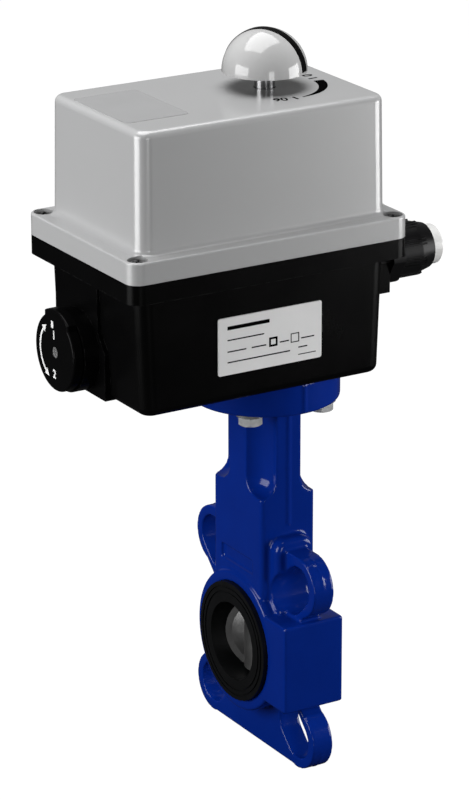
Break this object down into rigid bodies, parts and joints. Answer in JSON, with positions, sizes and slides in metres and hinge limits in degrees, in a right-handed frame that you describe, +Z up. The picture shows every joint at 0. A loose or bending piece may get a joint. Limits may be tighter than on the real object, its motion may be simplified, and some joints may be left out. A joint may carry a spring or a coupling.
{
  "type": "motorized butterfly valve",
  "caption": "Wafer butterfly valve with a square neck and a boxy quarter-turn electric actuator, domed position indicator, side selector knob and cable glands.",
  "frame": {"origin": "centre of the bore, on the axis of the stem", "axes": "+X along the pipe towards the cable glands, +Z up the stem to the actuator, the rating plate on the -Y side"},
  "size_m": [0.1672, 0.0976, 0.3203],
  "materials": {
    "valve_paint": "gloss",
    "seat_rubber": "matte",
    "disc_metal": "satin",
    "stem_steel": "satin",
    "bush_polymer": "matte",
    "housing_black": "semi-gloss",
    "cover_grey": "satin",
    "zinc_steel": "gloss",
    "plate_silver": "satin",
    "insert_steel": "satin",
    "brass": "satin",
    "dome_white": "gloss",
    "stripe_black": "satin",
    "black_plastic": "satin",
    "cam_plastic": "matte",
    "can_steel": "satin",
    "core_steel": "matte",
    "winding": "gloss",
    "board_green": "satin",
    "terminal_green": "satin"
  },
  "bodies": {
    "casing": {"valve_body": "valve_paint", "seat_liner": "seat_rubber", "stem_seals": "seat_rubber", "cover_gasket": "seat_rubber", "output_seal": "seat_rubber", "top_seal": "seat_rubber", "selector_seal": "seat_rubber", "gland_seals": "seat_rubber", "stem_circlip": "stem_steel", "second_axle": "stem_steel", "clutch_axle": "stem_steel", "fork_guide_pin": "stem_steel", "lower_stem_bush": "bush_polymer", "middle_stem_bush": "bush_polymer", "upper_stem_bush": "bush_polymer", "lower_housing": "housing_black", "top_cover": "cover_grey", "cover_screws": "zinc_steel", "mounting_bolts": "zinc_steel", "mounting_washers": "zinc_steel", "plate_screws": "zinc_steel", "rating_plate": "plate_silver", "lower_gear_plate": "insert_steel", "upper_gear_plate": "insert_steel", "lower_pillars": "insert_steel", "upper_pillars": "insert_steel", "switch_bracket": "insert_steel", "selector_spring": "insert_steel", "output_bush": "brass", "top_bush": "brass", "board_posts": "brass", "blanking_plugs": "dome_white", "gland_bodies": "black_plastic", "gland_nuts": "black_plastic", "gland_locknuts": "black_plastic", "limit_switches": "black_plastic", "motor_end_cap": "black_plastic", "motor_capacitor": "black_plastic", "motor_can": "can_steel", "transformer_core": "core_steel", "transformer_winding": "winding", "circuit_board": "board_green", "terminal_block": "terminal_green"},
    "output": {"valve_disc": "disc_metal", "valve_stem": "stem_steel", "output_shaft": "stem_steel", "drive_insert": "insert_steel", "output_gear": "insert_steel", "indicator_dome": "dome_white", "indicator_stripe": "stripe_black", "limit_cams": "cam_plastic"},
    "second": {"second_gear": "insert_steel"},
    "fork": {"declutch_fork": "insert_steel"},
    "clutch": {"clutch_gear": "brass"},
    "rotor": {"motor_pinion": "brass", "motor_shaft": "stem_steel", "motor_armature": "core_steel"},
    "knob": {"selector_knob": "black_plastic", "selector_shaft": "stem_steel"}
  },
  "joints": [
    {"name": "motor_turn", "type": "hinge", "parent": "casing", "child": "rotor", "pos_m": [-0.03226, -0.00689, 0.176], "axis": [0, 0, 1], "range_deg": [-3600, 2880]},
    {"name": "valve_turn", "type": "hinge", "parent": "casing", "child": "output", "pos_m": [0, 0, 0.15], "axis": [0, 0, 1], "range_deg": [-40.01, 50.01]},
    {"name": "second_turn", "type": "hinge", "parent": "casing", "child": "second", "pos_m": [-0.03188, 0.00854, 0.165], "axis": [0, 0, 1], "range_deg": [-225.1, 180.1]},
    {"name": "selector_turn", "type": "hinge", "parent": "casing", "child": "knob", "pos_m": [-0.085, 0.011, 0.1434], "axis": [1, 0, 0], "range_deg": [-0.01, 90.01], "stiffness_Nm_per_rad": 0.03, "springref_deg": -11.46},
    {"name": "fork_lift", "type": "slide", "parent": "casing", "child": "fork", "axis": [0, 0, 1], "range_m": [0, 0.00424]},
    {"name": "clutch_turn", "type": "hinge", "parent": "fork", "child": "clutch", "pos_m": [-0.05026, -0.00689, 0.17], "axis": [0, 0, 1], "range_deg": [-720.1, 900.1]}
  ],
  "couplings": [
    {"joint": "valve_turn", "follows": "motor_turn", "ratio": -0.013889},
    {"joint": "second_turn", "follows": "motor_turn", "ratio": 0.0625},
    {"joint": "clutch_turn", "follows": "motor_turn", "ratio": -0.25},
    {"joint": "selector_turn", "follows": "fork_lift", "rad_per_m": 370.24}
  ]
}
